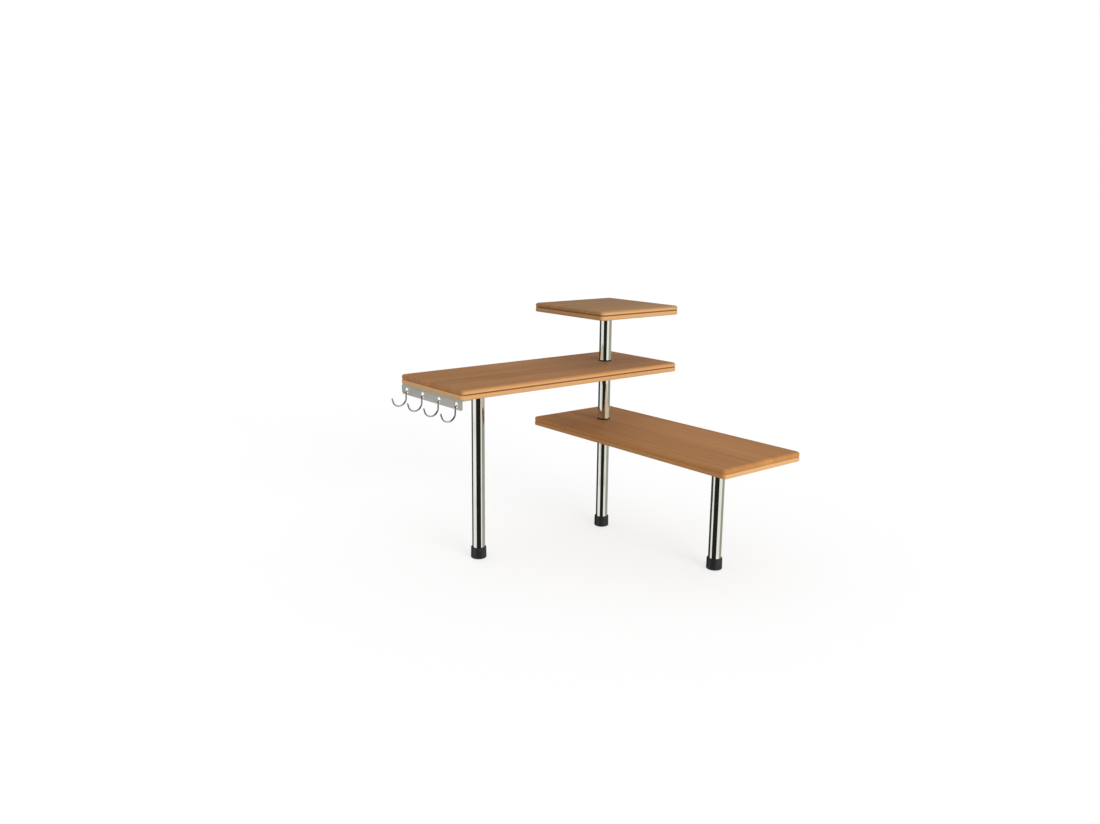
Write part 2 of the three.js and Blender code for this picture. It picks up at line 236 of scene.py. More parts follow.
polished_steel, tree, shader = new_finish("polished_tube_steel")
place = place_on_piece(tree)
polish_lines = stretched_noise(tree, place, STEEL_POLISH_LINES)
haze = stretched_noise(tree, place, STEEL_HAZE, detail=4.0)
tree.links.new(blended(tree, spread(tree, haze, STEEL_HAZED), STEEL_BRIGHT, STEEL_DULL),
               shader.inputs["Base Color"])
shader.inputs["Metallic"].default_value = 1.0
tree.links.new(spread(tree, polish_lines, MOST_CLOUDS, STEEL_ROUGHNESS), shader.inputs["Roughness"])


def tube_profile(low, high):
    """A tube's wall between two heights, with both ends deburred inside and out."""
    outer, bore, cut = TUBE_RADIUS, TUBE_BORE, TUBE_DEBURR
    return [(outer, low + cut), (outer, high - cut), (outer - cut, high), (bore + cut, high),
            (bore, high - cut), (bore, low + cut), (bore + cut, low), (outer - cut, low)]


for name, node, body in (
        ("post_lower_steel_tube", "post_tube_lower", "post"),
        ("post_middle_steel_tube", "post_tube_middle", "post"),
        ("post_upper_steel_tube", "post_tube_upper", "post"),
        ("middle_leg_steel_tube", "middle_leg_tube", "middle_arm"),
        ("lower_leg_steel_tube", "lower_leg_tube", "lower_arm")):
    low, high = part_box(node)
    pipe = turned_mesh(tube_profile(low.z, high.z), *middle_of(node))
    finished_piece(name, pipe, polished_steel, "polished_steel", body, node)


# Plugs: black plastic, moulded with a bore for a stud and a flange that shows as a thin dark ring.
# One is pressed into each tube end that meets a board, so that the wood and the steel never touch.
PLUG_RADIUS = 8.7 * MM
PLUG_BORE = 4.3 * MM
PLUG_FLANGE_RADIUS = 10.6 * MM
PLUG_FLANGE_THICKNESS = 1.6 * MM
PLUG_ROUNDING = 0.4 * MM
PLUG_LEAD_IN = 0.8 * MM
PLUG_SHINE = 0.1

plug_plastic = moulded_plastic("satin_black_plug_plastic", PLUG_SHINE)


def plug_profile(flange_face, body_end):
    """From the flange's flat face to the far end of the plug's body, whichever way up it sits."""
    way = 1 if body_end > flange_face else -1
    edge, round_off = PLUG_FLANGE_RADIUS, PLUG_ROUNDING
    seat = flange_face + way * PLUG_FLANGE_THICKNESS
    return (
        [(PLUG_BORE, flange_face)]
        + [(radius, flange_face + way * (round_off + rise))
           for radius, rise in corner_arc(edge - round_off, 0, round_off, -90, 0)]
        + [(radius, seat + way * (rise - round_off))
           for radius, rise in corner_arc(edge - round_off, 0, round_off, 0, 90)]
        + [(PLUG_RADIUS, seat),
           (PLUG_RADIUS, body_end - way * PLUG_LEAD_IN),
           (PLUG_RADIUS - PLUG_LEAD_IN, body_end),
           (PLUG_BORE, body_end)])


for node, body, flange_up in (
        ("lower_tube_top_plug", "post", True),
        ("middle_tube_bottom_plug", "post", False),
        ("middle_tube_top_plug", "post", True),
        ("upper_tube_bottom_plug", "post", False),
        ("upper_tube_top_plug", "post", True),
        ("middle_leg_plug", "middle_arm", True),
        ("lower_leg_plug", "lower_arm", True)):
    low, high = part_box(node)
    ends = (high.z, low.z) if flange_up else (low.z, high.z)
    plug = turned_mesh(plug_profile(*ends), *middle_of(node))
    finished_piece("moulded_" + node, plug, plug_plastic, "plug_plastic", body, node)


# Studs and threaded inserts: zinc-plated steel, out of sight inside the plugs and the wood.
# The studs clamp each board between two plugs, and the inserts are screwed into the boards' undersides.
ZINC_LIGHT = (0.50, 0.49, 0.45, 1.0)
ZINC_DARK = (0.36, 0.36, 0.34, 1.0)
ZINC_SPANGLE = (700, 700, 700)
ZINC_TONES = (0.35, 0.65)
ZINC_ROUGHNESS = (0.32, 0.50)
ZINC_RELIEF = (0.1, 0.03 * MM)

zinc_steel, tree, shader = new_finish("zinc_plated_steel")
spangle = stretched_noise(tree, place_on_piece(tree), ZINC_SPANGLE)
tree.links.new(blended(tree, spread(tree, spangle, ZINC_TONES), ZINC_LIGHT, ZINC_DARK),
               shader.inputs["Base Color"])
shader.inputs["Metallic"].default_value = 1.0
tree.links.new(spread(tree, spangle, MOST_CLOUDS, ZINC_ROUGHNESS), shader.inputs["Roughness"])
raised(tree, shader, spangle, ZINC_RELIEF)

for node in ("lower_shelf_stud", "middle_shelf_stud", "top_shelf_stud", "middle_leg_stud", "lower_leg_stud",
             "top_shelf_insert", "middle_leg_insert", "lower_leg_insert"):
    for material_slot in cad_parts[node].material_slots:
        material_slot.material = zinc_steel


# Boards: wooden staves, glued edge to edge, planed, cut to shape and oiled, with every edge rounded over.
# A fine groove is routed all round the edge, and holes are drilled for the studs, inserts and screws.
# The long boards are clamped on the post and stand on a leg each, and the top one is screwed onto the post.
BOARD_CORNER_RADIUS = 6.0 * MM
NOSING_RADIUS = 4.0 * MM
LOWER_EDGE_RADIUS = 1.5 * MM
GROOVE_DROP = 6.0 * MM
GROOVE_WIDTH = 2.0 * MM
GROOVE_DEPTH = 1.0 * MM
GROOVE_LIP = 0.3 * MM
GROOVE_FLOOR_ROUNDING = 0.4 * MM
NOSING_STEPS = 12
GROOVE_STEPS = 3
LOWER_EDGE_STEPS = 6
CORNER_STEPS = 14
HOLE_SIDES = 32
STUD_HOLE_RADIUS = 4.3 * MM
INSERT_HOLE_RADIUS = 6.6 * MM
INSERT_HOLE_DEPTH = 10.8 * MM
SCREW_HOLE_RADIUS = 2.05 * MM
SCREW_HOLE_DEPTH = 9.5 * MM
STAVE_WIDTH = 42.5 * MM
STAVE_SHIFT = (3.0, 0.6, 0.9)
WOOD_DARK = (0.205, 0.090, 0.026, 1.0)
WOOD_MIDDLE = (0.297, 0.139, 0.043, 1.0)
WOOD_LIGHT = (0.405, 0.203, 0.068, 1.0)
# A paler edge colour, which is also painted highlight where the nosing faces the lamp.
EDGE_AND_PAINTED_HIGHLIGHT = (0.510, 0.290, 0.125, 1.0)
# Painted shade: the dark groove colour stands for the shade inside the groove.
GROOVE_PAINTED_SHADE = (0.170, 0.066, 0.018, 1.0)
WOOD_PORE = (0.130, 0.055, 0.022, 1.0)
WOOD_CLOUDS = (3.0, 30.0, 30.0)
WOOD_GROWTH = (2.2, 70.0, 55.0)
WOOD_FIBRES = (18.0, 900.0, 900.0)
WOOD_PORES = (150.0, 2400.0, 2400.0)
CLOUD_SHARE = 0.30
GROWTH_SHARE = 0.62
FIBRE_SHARE = 0.16
STAVE_SHARE = 0.16
WOOD_TONES = (0.28, 0.94)
OPEN_PORES = (0.63, 0.74)
PORE_SHARE = (0.0, 0.5)
WOOD_ROUGHNESS = (0.46, 0.58)
WOOD_SHINE = 0.12
WOOD_RELIEF = (0.18, 0.12 * MM)
ALONG_X = 0.0
ALONG_Y = math.pi / 2


def board_profile(thickness):
    """The board's edge from top to bottom, as rows of five numbers.

    They are an inset, a drop, and how far the row is the nosing, the groove or the band below it.
    """
    nosing, edge, lip, floor = NOSING_RADIUS, LOWER_EDGE_RADIUS, GROOVE_LIP, GROOVE_FLOOR_ROUNDING
    upper, lower = GROOVE_DROP, GROOVE_DROP + GROOVE_WIDTH
    rows = []
    for across, rise in corner_arc(0, 0, nosing, 90, 0, steps=NOSING_STEPS):
        rows.append((nosing - across, nosing - rise, (1 - rise / nosing) ** 2, 0.0, 0.0))
    for across, rise in corner_arc(lip, upper - lip, lip, 180, 90, steps=GROOVE_STEPS):
        rows.append((across, rise, 1.0, 0.0, 0.0))
    for across, rise in corner_arc(GROOVE_DEPTH - floor, upper + floor, floor, -90, 0, steps=GROOVE_STEPS):
        rows.append((across, rise, 0.0, 1.0, 0.0))
    for across, rise in corner_arc(GROOVE_DEPTH - floor, lower - floor, floor, 0, 90, steps=GROOVE_STEPS):
        rows.append((across, rise, 0.0, 1.0, 0.0))
    for across, rise in corner_arc(lip, lower + lip, lip, -90, -180, steps=GROOVE_STEPS):
        rows.append((across, rise, 0.0, 0.0, 1.0))
    for across, rise in corner_arc(0, 0, edge, 0, -90, steps=LOWER_EDGE_STEPS):
        rows.append((edge - across, thickness - edge - rise, 0.0, 0.0, across / edge))
    return rows


def board_ring(low, high, inset):
    """The outline of a board with rounded corners, drawn in on every side: x, y and the outward angle."""
    radius = BOARD_CORNER_RADIUS - inset
    west, east = low.x + BOARD_CORNER_RADIUS, high.x - BOARD_CORNER_RADIUS
    south, north = low.y + BOARD_CORNER_RADIUS, high.y - BOARD_CORNER_RADIUS
    points = []
    for x, y, start in ((east, south, -90), (east, north, 0), (west, north, 90), (west, south, 180)):
        for step in range(CORNER_STEPS + 1):
            angle = math.radians(start + 90 * step / CORNER_STEPS)
            points.append((x + radius * math.cos(angle), y + radius * math.sin(angle), angle))
    return points


def circle(x, y, radius, sides):
    """Points spaced evenly round a circle."""
    return corner_arc(x, y, radius, 0, 360 - 360 / sides, steps=sides - 1)


def hole_ring(shape, x, y, radius, height):
    """The rim of a drilled hole at one height."""
    return [shape.verts.new((*point, height)) for point in circle(x, y, radius, HOLE_SIDES)]


def loop_edges(shape, ring):
    """The edges round a closed ring, made where they are missing."""
    edges = []
    for first, second in zip(ring, ring[1:] + ring[:1]):
        edges.append(shape.edges.get((first, second)) or shape.edges.new((first, second)))
    return edges


def wall_between(shape, first_ring, second_ring):
    """Faces all the way round from one ring to another with as many points."""
    count = len(first_ring)
    for point in range(count):
        following = (point + 1) % count
        shape.faces.new((first_ring[point], first_ring[following],
                         second_ring[following], second_ring[point]))


def shaped_board(low, high, through_holes, blind_holes):
    """A grooved board between two corners, with holes right through and holes from below."""
    shape = bmesh.new()
    nosing, groove, band, painted_light_side = [shape.verts.layers.float.new(part)
                                   for part in ("nosing", "groove", "band", "painted_light_side")]
    rings = []
    for inset, drop, *edge_parts in board_profile(high.z - low.z):
        ring = []
        for x, y, outwards in board_ring(low, high, inset):
            point = shape.verts.new((x, y, high.z - drop))
            point[nosing], point[groove], point[band] = edge_parts
            # How far the edge faces +X, towards the lamp: the mask for the painted highlight and shade on
            # that side.
            point[painted_light_side] = max(math.cos(outwards), 0) ** 2
            ring.append(point)
        rings.append(ring)
    for upper, lower in zip(rings, rings[1:]):
        wall_between(shape, upper, lower)
    top_edges, bottom_edges = loop_edges(shape, rings[0]), loop_edges(shape, rings[-1])
    for x, y, radius in through_holes:
        top, bottom = hole_ring(shape, x, y, radius, high.z), hole_ring(shape, x, y, radius, low.z)
        wall_between(shape, top, bottom)
        top_edges += loop_edges(shape, top)
        bottom_edges += loop_edges(shape, bottom)
    for x, y, radius, depth in blind_holes:
        end, mouth = hole_ring(shape, x, y, radius, low.z + depth), hole_ring(shape, x, y, radius, low.z)
        wall_between(shape, end, mouth)
        shape.faces.new(end)
        bottom_edges += loop_edges(shape, mouth)
    for edges in (top_edges, bottom_edges):
        bmesh.ops.triangle_fill(shape, use_beauty=True, edges=edges)
    bmesh.ops.recalc_face_normals(shape, faces=shape.faces)
    return shape


def oiled_wood(name, grain_turn, stave_start, lightness, tint, nosing, groove, band):
    """Oiled wood whose staves run along X after a turn about Z, each with its own tone and figure.

    The nosing, the groove and the band each have a colour of their own. The share of it on most sides
    comes first, then the share on the side that faces +X, where the lamp stands; the pale nosing there is
    painted highlight. A dark groove colour is painted shade, and a light one paints the groove's shade out.
    """
    finish, tree, shader = new_finish(name)
    turned = add_node(tree, "ShaderNodeMapping", {
        "Vector": place_on_piece(tree), "Rotation": (0, 0, grain_turn), "Location": (0, stave_start, 0)})
    place = turned.outputs[0]
    across = add_node(tree, "ShaderNodeSeparateXYZ", {0: place}).outputs["Y"]
    stave = add_node(tree, "ShaderNodeMath", {
        0: arithmetic(tree, "DIVIDE", across, STAVE_WIDTH)}, operation="FLOOR").outputs[0]
    chance = add_node(tree, "ShaderNodeTexWhiteNoise", {"W": stave}, noise_dimensions="1D")
    shift = add_node(tree, "ShaderNodeVectorMath", {0: chance.outputs["Color"], 1: STAVE_SHIFT},
                     operation="MULTIPLY")
    shifted = add_node(tree, "ShaderNodeVectorMath", {0: place, 1: shift.outputs[0]}, operation="ADD")
    in_stave = shifted.outputs[0]

    clouds = stretched_noise(tree, in_stave, WOOD_CLOUDS, distortion=0.4)
    growth = stretched_noise(tree, in_stave, WOOD_GROWTH, detail=5.0, roughness=0.62, distortion=0.9)
    fibres = stretched_noise(tree, in_stave, WOOD_FIBRES)
    pores = stretched_noise(tree, in_stave, WOOD_PORES, detail=1.0)

    tone = lightness
    for figure, share in ((growth, GROWTH_SHARE), (clouds, CLOUD_SHARE), (fibres, FIBRE_SHARE),
                          (chance.outputs["Value"], STAVE_SHARE)):
        tone = arithmetic(tree, "ADD", tone, arithmetic(tree, "MULTIPLY", figure, share))
    ramp = add_node(tree, "ShaderNodeValToRGB", {"Fac": spread(tree, tone, WOOD_TONES)})
    stops = ramp.color_ramp.elements
    stops.new(0.5)
    # The tint is each board's own tone mixed with painted sheen: the greyer, bluer tints of the upper boards
    # stand for their pale sheen at a low angle.
    for stop, shade in zip(stops, (WOOD_DARK, WOOD_MIDDLE, WOOD_LIGHT)):
        stop.color = [level * share for level, share in zip(shade, (*tint, 1.0))]
    colour = blended(tree, spread(tree, pores, OPEN_PORES, PORE_SHARE), ramp.outputs["Color"], WOOD_PORE)

    painted_light_side = add_node(tree, "ShaderNodeAttribute", attribute_name="painted_light_side").outputs["Fac"]
    for part, (shade, on_most, on_painted_light_side) in (("nosing", nosing), ("groove", groove), ("band", band)):
        reach = add_node(tree, "ShaderNodeAttribute", attribute_name=part).outputs["Fac"]
        share = spread(tree, painted_light_side, (0.0, 1.0), (on_most, on_painted_light_side))
        colour = blended(tree, arithmetic(tree, "MULTIPLY", reach, share), colour, shade)
    tree.links.new(colour, shader.inputs["Base Color"])
    tree.links.new(spread(tree, fibres, MOST_CLOUDS, WOOD_ROUGHNESS), shader.inputs["Roughness"])
    shader.inputs["Specular IOR Level"].default_value = WOOD_SHINE
    raised(tree, shader, arithmetic(tree, "SUBTRACT", fibres, pores), WOOD_RELIEF)
    return finish


def insert_hole(tube):
    """The blind hole for the insert that a tube is screwed to: its place, radius and depth."""
    return (*middle_of(tube), INSERT_HOLE_RADIUS, INSERT_HOLE_DEPTH)


RAIL_SCREWS = ("rail_screw_back", "rail_screw_front")
post_hole = (*middle_of("post_tube_lower"), STUD_HOLE_RADIUS)
screw_holes = [(*middle_of(screw), SCREW_HOLE_RADIUS, SCREW_HOLE_DEPTH) for screw in RAIL_SCREWS]


def add_board(name, node, body, grain_turn, mirrored, through_holes, blind_holes, **tones):
    """One board with its holes and its wood; the polished steel shows it only if it is mirrored."""
    wood = oiled_wood("oiled_wood_" + name, grain_turn, **tones)
    board = shaped_board(*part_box(node), through_holes, blind_holes)
    finished_piece(name, board, wood, "oiled_wood", body, node).visible_glossy = mirrored


add_board("lower_board", "lower_shelf", "lower_arm", ALONG_X, mirrored=True,
          through_holes=[post_hole], blind_holes=[insert_hole("lower_leg_tube")],
          stave_start=0.0, lightness=0.10, tint=(1.14, 1.07, 1.09),
          # The lower board's light groove colour paints out the shade in its groove.
          nosing=(EDGE_AND_PAINTED_HIGHLIGHT, 0.15, 0.10), groove=(WOOD_LIGHT, 0.8, 0.3), band=(EDGE_AND_PAINTED_HIGHLIGHT, 0.22, 1.0))
add_board("middle_board", "middle_shelf", "middle_arm", ALONG_Y, mirrored=False,
          through_holes=[post_hole], blind_holes=[insert_hole("middle_leg_tube")] + screw_holes,
          stave_start=0.51, lightness=0.0, tint=(1.09, 1.06, 1.15),
          nosing=(EDGE_AND_PAINTED_HIGHLIGHT, 0.0, 0.72), groove=(GROOVE_PAINTED_SHADE, 0.0, 0.9), band=(EDGE_AND_PAINTED_HIGHLIGHT, 1.0, 0.68))
add_board("top_board", "top_shelf", "top_arm", ALONG_Y, mirrored=False,
          through_holes=[], blind_holes=[insert_hole("post_tube_upper")],
          stave_start=1.02, lightness=-0.03, tint=(0.98, 1.07, 1.35),
          nosing=(EDGE_AND_PAINTED_HIGHLIGHT, 0.0, 0.85), groove=(GROOVE_PAINTED_SHADE, 0.7, 1.0), band=(EDGE_AND_PAINTED_HIGHLIGHT, 0.4, 0.75))


# Hook rail: a strip of stainless sheet, bent to an angle, with rounded lower corners and a brushed face.
# Its flange is screwed up under the end of the middle board.
# Its web hangs down in front of the flange, with a hole for each hook.
RAIL_THICKNESS = 1.5 * MM
RAIL_OUTER_BEND = 2.5 * MM
RAIL_CORNER_RADIUS = 4.0 * MM
RAIL_HOLE_RADIUS = 4.5 * MM
RAIL_WEB = 2.2 * MM
RAIL_EDGE = 0.18 * MM
RAIL_EDGE_ANGLE = math.radians(50)
RAIL_EDGE_STEPS = 2
RAIL_BEND_STEPS = 8
RAIL_WELD_DISTANCE = 0.001 * MM
BRUSHED_LIGHT = (0.90, 0.88, 0.81, 1.0)
BRUSHED_DARK = (0.78, 0.76, 0.70, 1.0)
BRUSHED_LINES = (22, 1500, 1500)
BRUSHED_TONES = (0.35, 0.65)
BRUSHED_RELIEF = (0.08, 0.04 * MM)
ROLLED_PATCHES = (16, 90, 90)
RAIL_ROUGHNESS = (0.44, 0.47)

brushed_steel, tree, shader = new_finish("brushed_rail_steel")
place = place_on_piece(tree)
brushing = stretched_noise(tree, place, BRUSHED_LINES, detail=4.0, roughness=0.6)
rolling = stretched_noise(tree, place, ROLLED_PATCHES)
tree.links.new(blended(tree, spread(tree, brushing, BRUSHED_TONES), BRUSHED_DARK, BRUSHED_LIGHT),
               shader.inputs["Base Color"])
shader.inputs["Metallic"].default_value = 1.0
tree.links.new(spread(tree, rolling, MOST_CLOUDS, RAIL_ROUGHNESS), shader.inputs["Roughness"])
raised(tree, shader, brushing, BRUSHED_RELIEF)

rail_low, rail_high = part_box("hook_rail")
hook_places = [middle_of(f"hook_{number}")[0] for number in (1, 2, 3, 4)]
screw_places = [middle_of(screw) for screw in RAIL_SCREWS]


def half_hole(x, centre, radius, start, end):
    """One side of a hole that an outline is cut through."""
    return corner_arc(x, centre, radius, start, end, steps=HOLE_SIDES // 2)


def sheet_pieces(left, right, near, far, hole_centres, hole_radius, marks):
    """Outlines that tile a strip of sheet between them.

    The strip is cut through the middle of each hole, and its far edge has a point at each mark.
    """
    stops = [left] + [x for x, _ in hole_centres] + [right]
    outlines = []
    for index, (start, end) in enumerate(zip(stops, stops[1:])):
        outline = [(start, near), (end, near)]
        if index < len(hole_centres):
            outline += half_hole(end, hole_centres[index][1], hole_radius, -90, -270)
        outline += [(end, far)]
        outline += [(mark, far) for mark in sorted(marks, reverse=True) if start < mark < end]
        outline += [(start, far)]
        if index > 0:
            outline += half_hole(start, hole_centres[index - 1][1], hole_radius, 90, -90)
        outlines.append(outline)
    return outlines


def bent_rail():
    """The rail's outer skin: the upright web, the bend and the flange, to be thickened inwards."""
    bend, corner = RAIL_OUTER_BEND, RAIL_CORNER_RADIUS
    web_height = rail_high.z - rail_low.z - bend
    flange_start = rail_low.y + bend
    left, right = rail_low.x, rail_high.x
    columns = sorted([left, right] + hook_places + [x for x, _ in screw_places])
    skin = bmesh.new()

    web_holes = [(x, RAIL_WEB + RAIL_HOLE_RADIUS) for x in hook_places]
    outlines = sheet_pieces(left, right, 0.0, web_height, web_holes, RAIL_HOLE_RADIUS, columns)
    round_left = corner_arc(left + corner, corner, corner, 180, 270, steps=RAIL_BEND_STEPS)
    round_right = corner_arc(right - corner, corner, corner, 270, 360, steps=RAIL_BEND_STEPS)
    outlines[0] = round_left + outlines[0][1:]
    outlines[-1] = outlines[-1][:1] + round_right + outlines[-1][2:]
    for outline in outlines:
        skin.faces.new([skin.verts.new((x, rail_low.y, rail_low.z + rise)) for x, rise in outline])

    bend_arc = corner_arc(flange_start, rail_high.z - bend, bend, 180, 90, steps=RAIL_BEND_STEPS)
    rows = [[skin.verts.new((x, y, z)) for x in columns] for y, z in bend_arc]
    for row, following in zip(rows, rows[1:]):
        for column in range(len(columns) - 1):
            skin.faces.new((row[column], row[column + 1], following[column + 1], following[column]))

    flange_holes = [(x, rail_high.y - y) for x, y in screw_places]
    flange_far = rail_high.y - flange_start
    for outline in sheet_pieces(left, right, 0.0, flange_far, flange_holes, SCREW_HOLE_RADIUS, columns):
        skin.faces.new([skin.verts.new((x, rail_high.y - back, rail_high.z)) for x, back in outline])
    bmesh.ops.remove_doubles(skin, verts=skin.verts, dist=RAIL_WELD_DISTANCE)
    bmesh.ops.recalc_face_normals(skin, faces=skin.faces)
    skin.faces.ensure_lookup_table()
    if skin.faces[0].normal.y > 0:
        bmesh.ops.reverse_faces(skin, faces=skin.faces)
    return skin


rail = finished_piece("bent_hook_rail", bent_rail(), brushed_steel,
                      "brushed_steel", "middle_arm", "hook_rail")
thickened = rail.modifiers.new("sheet_thickness", "SOLIDIFY")
thickened.thickness = RAIL_THICKNESS
thickened.offset = -1.0
thickened.use_even_offset = True
eased = rail.modifiers.new("eased_edges", "BEVEL")
eased.width = RAIL_EDGE
eased.segments = RAIL_EDGE_STEPS
eased.limit_method = "ANGLE"
eased.angle_limit = RAIL_EDGE_ANGLE
eased.harden_normals = True
# The polished tubes and the hooks don't mirror the rail.
rail.visible_glossy = False


# Rail screws: zinc-plated pan-head wood screws with a cross recess.
# They are driven up through the flange into the board, so that only their heads show, from below.
SCREW_SHANK_RADIUS = 1.75 * MM
SCREW_HEAD_RADIUS = 3.5 * MM
SCREW_HEAD_HEIGHT = 2.0 * MM
SCREW_HEAD_ROUNDING = 1.0 * MM
SCREW_HEAD_STEPS = 8
SCREW_POINT = 3.5 * MM
RECESS_DEPTH = 1.2 * MM
RECESS_HALF_WIDTH = 0.42 * MM
RECESS_ARM_BELOW = 2.375 * MM
RECESS_ARM_INSIDE = 1.045 * MM


def recess_cutter(x, y, bottom):
    """A cross with tapered arms, from below the head's face to the floor of the recess."""
    cutter = bmesh.new()
    for turn in (0, math.pi / 2):
        corners = []
        for height, reach in ((bottom - RECESS_DEPTH, RECESS_ARM_BELOW),
                              (bottom + RECESS_DEPTH, RECESS_ARM_INSIDE)):
            for side_x, side_y in ((-1, -1), (1, -1), (1, 1), (-1, 1)):
                arm = Vector((side_x * reach, side_y * RECESS_HALF_WIDTH, 0))
                arm.rotate(Matrix.Rotation(turn, 3, "Z"))
                corners.append(cutter.verts.new((x + arm.x, y + arm.y, height)))
        cutter.faces.new(corners[3::-1])
        cutter.faces.new(corners[4:])
        for side in range(4):
            following = (side + 1) % 4
            cutter.faces.new((corners[side], corners[following], corners[following + 4], corners[side + 4]))
    bmesh.ops.recalc_face_normals(cutter, faces=cutter.faces)
    mesh = bpy.data.meshes.new("recess_cutter")
    cutter.to_mesh(mesh)
    cutter.free()
    return bpy.data.objects.new("recess_cutter", mesh)


for node in RAIL_SCREWS:
    low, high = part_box(node)
    seat = low.z + SCREW_HEAD_HEIGHT
    rounding = SCREW_HEAD_ROUNDING
    profile = (
        [(0, low.z)]
        + corner_arc(SCREW_HEAD_RADIUS - rounding, low.z + rounding, rounding, -90, 0, steps=SCREW_HEAD_STEPS)
        + [(SCREW_HEAD_RADIUS, seat), (SCREW_SHANK_RADIUS, seat),
           (SCREW_SHANK_RADIUS, high.z - SCREW_POINT), (0, high.z)])
    screw = finished_piece("pan_head_" + node, turned_mesh(profile, *middle_of(node)), zinc_steel,
                           "zinc_steel", "middle_arm", node)
    cutter = recess_cutter(*middle_of(node), low.z)
    bpy.context.scene.collection.objects.link(cutter)
    recess = screw.modifiers.new("cross_recess", "BOOLEAN")
    recess.operation = "DIFFERENCE"
    recess.solver = "EXACT"
    recess.use_self = True
    recess.object = cutter
    bpy.context.view_layer.update()
    evaluated = screw.evaluated_get(bpy.context.evaluated_depsgraph_get())
    cut_mesh = bpy.data.meshes.new_from_object(evaluated)
    screw.modifiers.clear()
    screw.data = cut_mesh
    bpy.data.objects.remove(cutter)


# Wire hooks: bright plated steel wire, cut to length with its ends tumbled round, and bent on a former.
# Each hangs over the web under its hole, with a short tail behind the rail, and swings outwards on it.
WIRE_RADIUS = 1.25 * MM
EYE_RADIUS = 3.25 * MM
BOW_RADIUS = 11.75 * MM
SHANK_LENGTH = 6.5 * MM
TAIL_LENGTH = 4.0 * MM
TIP_LENGTH = 5.0 * MM
BOW_SWEEP = 165
RAIL_CLEARANCE = 0.3 * MM
EYE_STEPS = 24
BOW_STEPS = 48
WIRE_SIDES = 20
WIRE_CAP_STEPS = 5
WIRE_BRIGHT = (0.64, 0.64, 0.62, 1.0)
WIRE_DULL = (0.50, 0.50, 0.48, 1.0)
WIRE_DRAWN_LINES = (600, 220, 220)
WIRE_DULLED = (0.40, 0.70)
WIRE_ROUGHNESS = (0.05, 0.10)
WIRE_RELIEF = (0.05, 0.02 * MM)

hook_wire, tree, shader = new_finish("bright_hook_wire")
drawn_lines = stretched_noise(tree, place_on_piece(tree), WIRE_DRAWN_LINES)
tree.links.new(blended(tree, spread(tree, drawn_lines, WIRE_DULLED), WIRE_BRIGHT, WIRE_DULL),
               shader.inputs["Base Color"])
shader.inputs["Metallic"].default_value = 1.0
tree.links.new(spread(tree, drawn_lines, MOST_CLOUDS, WIRE_ROUGHNESS), shader.inputs["Roughness"])
raised(tree, shader, drawn_lines, WIRE_RELIEF)


def hook_route():
    """The wire's middle line as (out from the rail's face, height) points, from the tail to the tip."""
    web_top = rail_low.z + RAIL_WEB
    shank = RAIL_CLEARANCE + WIRE_RADIUS
    bow_out, bow_height = shank + BOW_RADIUS, web_top - SHANK_LENGTH
    route = [(shank - 2 * EYE_RADIUS, web_top - TAIL_LENGTH)]
    route += corner_arc(shank - EYE_RADIUS, web_top, EYE_RADIUS, 180, 0, steps=EYE_STEPS)
    route += corner_arc(bow_out, bow_height, BOW_RADIUS, 180, 180 + BOW_SWEEP, steps=BOW_STEPS)
    end = math.radians(180 + BOW_SWEEP)
    route.append((route[-1][0] - TIP_LENGTH * math.sin(end), route[-1][1] + TIP_LENGTH * math.cos(end)))
    return route


def swept_wire(route, x, face_y):
    """Round wire along a flat route, with rounded ends."""
    wire = bmesh.new()
    middles = [Vector((0, face_y - out, height)) for out, height in route]
    sideways = Vector((1, 0, 0))
    rings = []

    def add_ring(middle, along, radius):
        outwards = sideways.cross(along)
        ring = []
        for side in range(WIRE_SIDES):
            angle = 2 * math.pi * side / WIRE_SIDES
            point = middle + radius * (math.cos(angle) * outwards + math.sin(angle) * sideways)
            ring.append(wire.verts.new((x + point.x, point.y, point.z)))
        rings.append(ring)

    def add_cap(middle, along, angles):
        for angle in angles:
            add_ring(middle + along * WIRE_RADIUS * math.sin(angle), along, WIRE_RADIUS * math.cos(angle))

    cap_angles = [math.pi / 2 * step / WIRE_CAP_STEPS for step in range(1, WIRE_CAP_STEPS)]
    first = (middles[1] - middles[0]).normalized()
    last = (middles[-1] - middles[-2]).normalized()
    add_cap(middles[0] + first * WIRE_RADIUS, first, [-angle for angle in reversed(cap_angles)])
    for index, middle in enumerate(middles):
        before, after = middles[max(index - 1, 0)], middles[min(index + 1, len(middles) - 1)]
        along = (after - before).normalized()
        if index == 0:
            middle = middle + first * WIRE_RADIUS
        if index == len(middles) - 1:
            middle = middle - last * WIRE_RADIUS
        add_ring(middle, along, WIRE_RADIUS)
    add_cap(middles[-1] - last * WIRE_RADIUS, last, cap_angles)
    for ring, following in zip(rings, rings[1:]):
        wall_between(wire, ring, following)
    for ring, middle in ((rings[0], middles[0]), (rings[-1], middles[-1])):
        pole = wire.verts.new((x, middle.y, middle.z))
        for point in range(WIRE_SIDES):
            wire.faces.new((ring[point], ring[(point + 1) % WIRE_SIDES], pole))
    bmesh.ops.recalc_face_normals(wire, faces=wire.faces)
    return wire


for number, x in enumerate(hook_places, start=1):
    wire = swept_wire(hook_route(), x, rail_low.y)
    hook = finished_piece(
        f"wire_hook_{number}", wire, hook_wire, "hook_wire", f"hook_{number}_wire", f"hook_{number}")
    # The polished tubes and the rail don't mirror the hooks.
    hook.visible_glossy = False


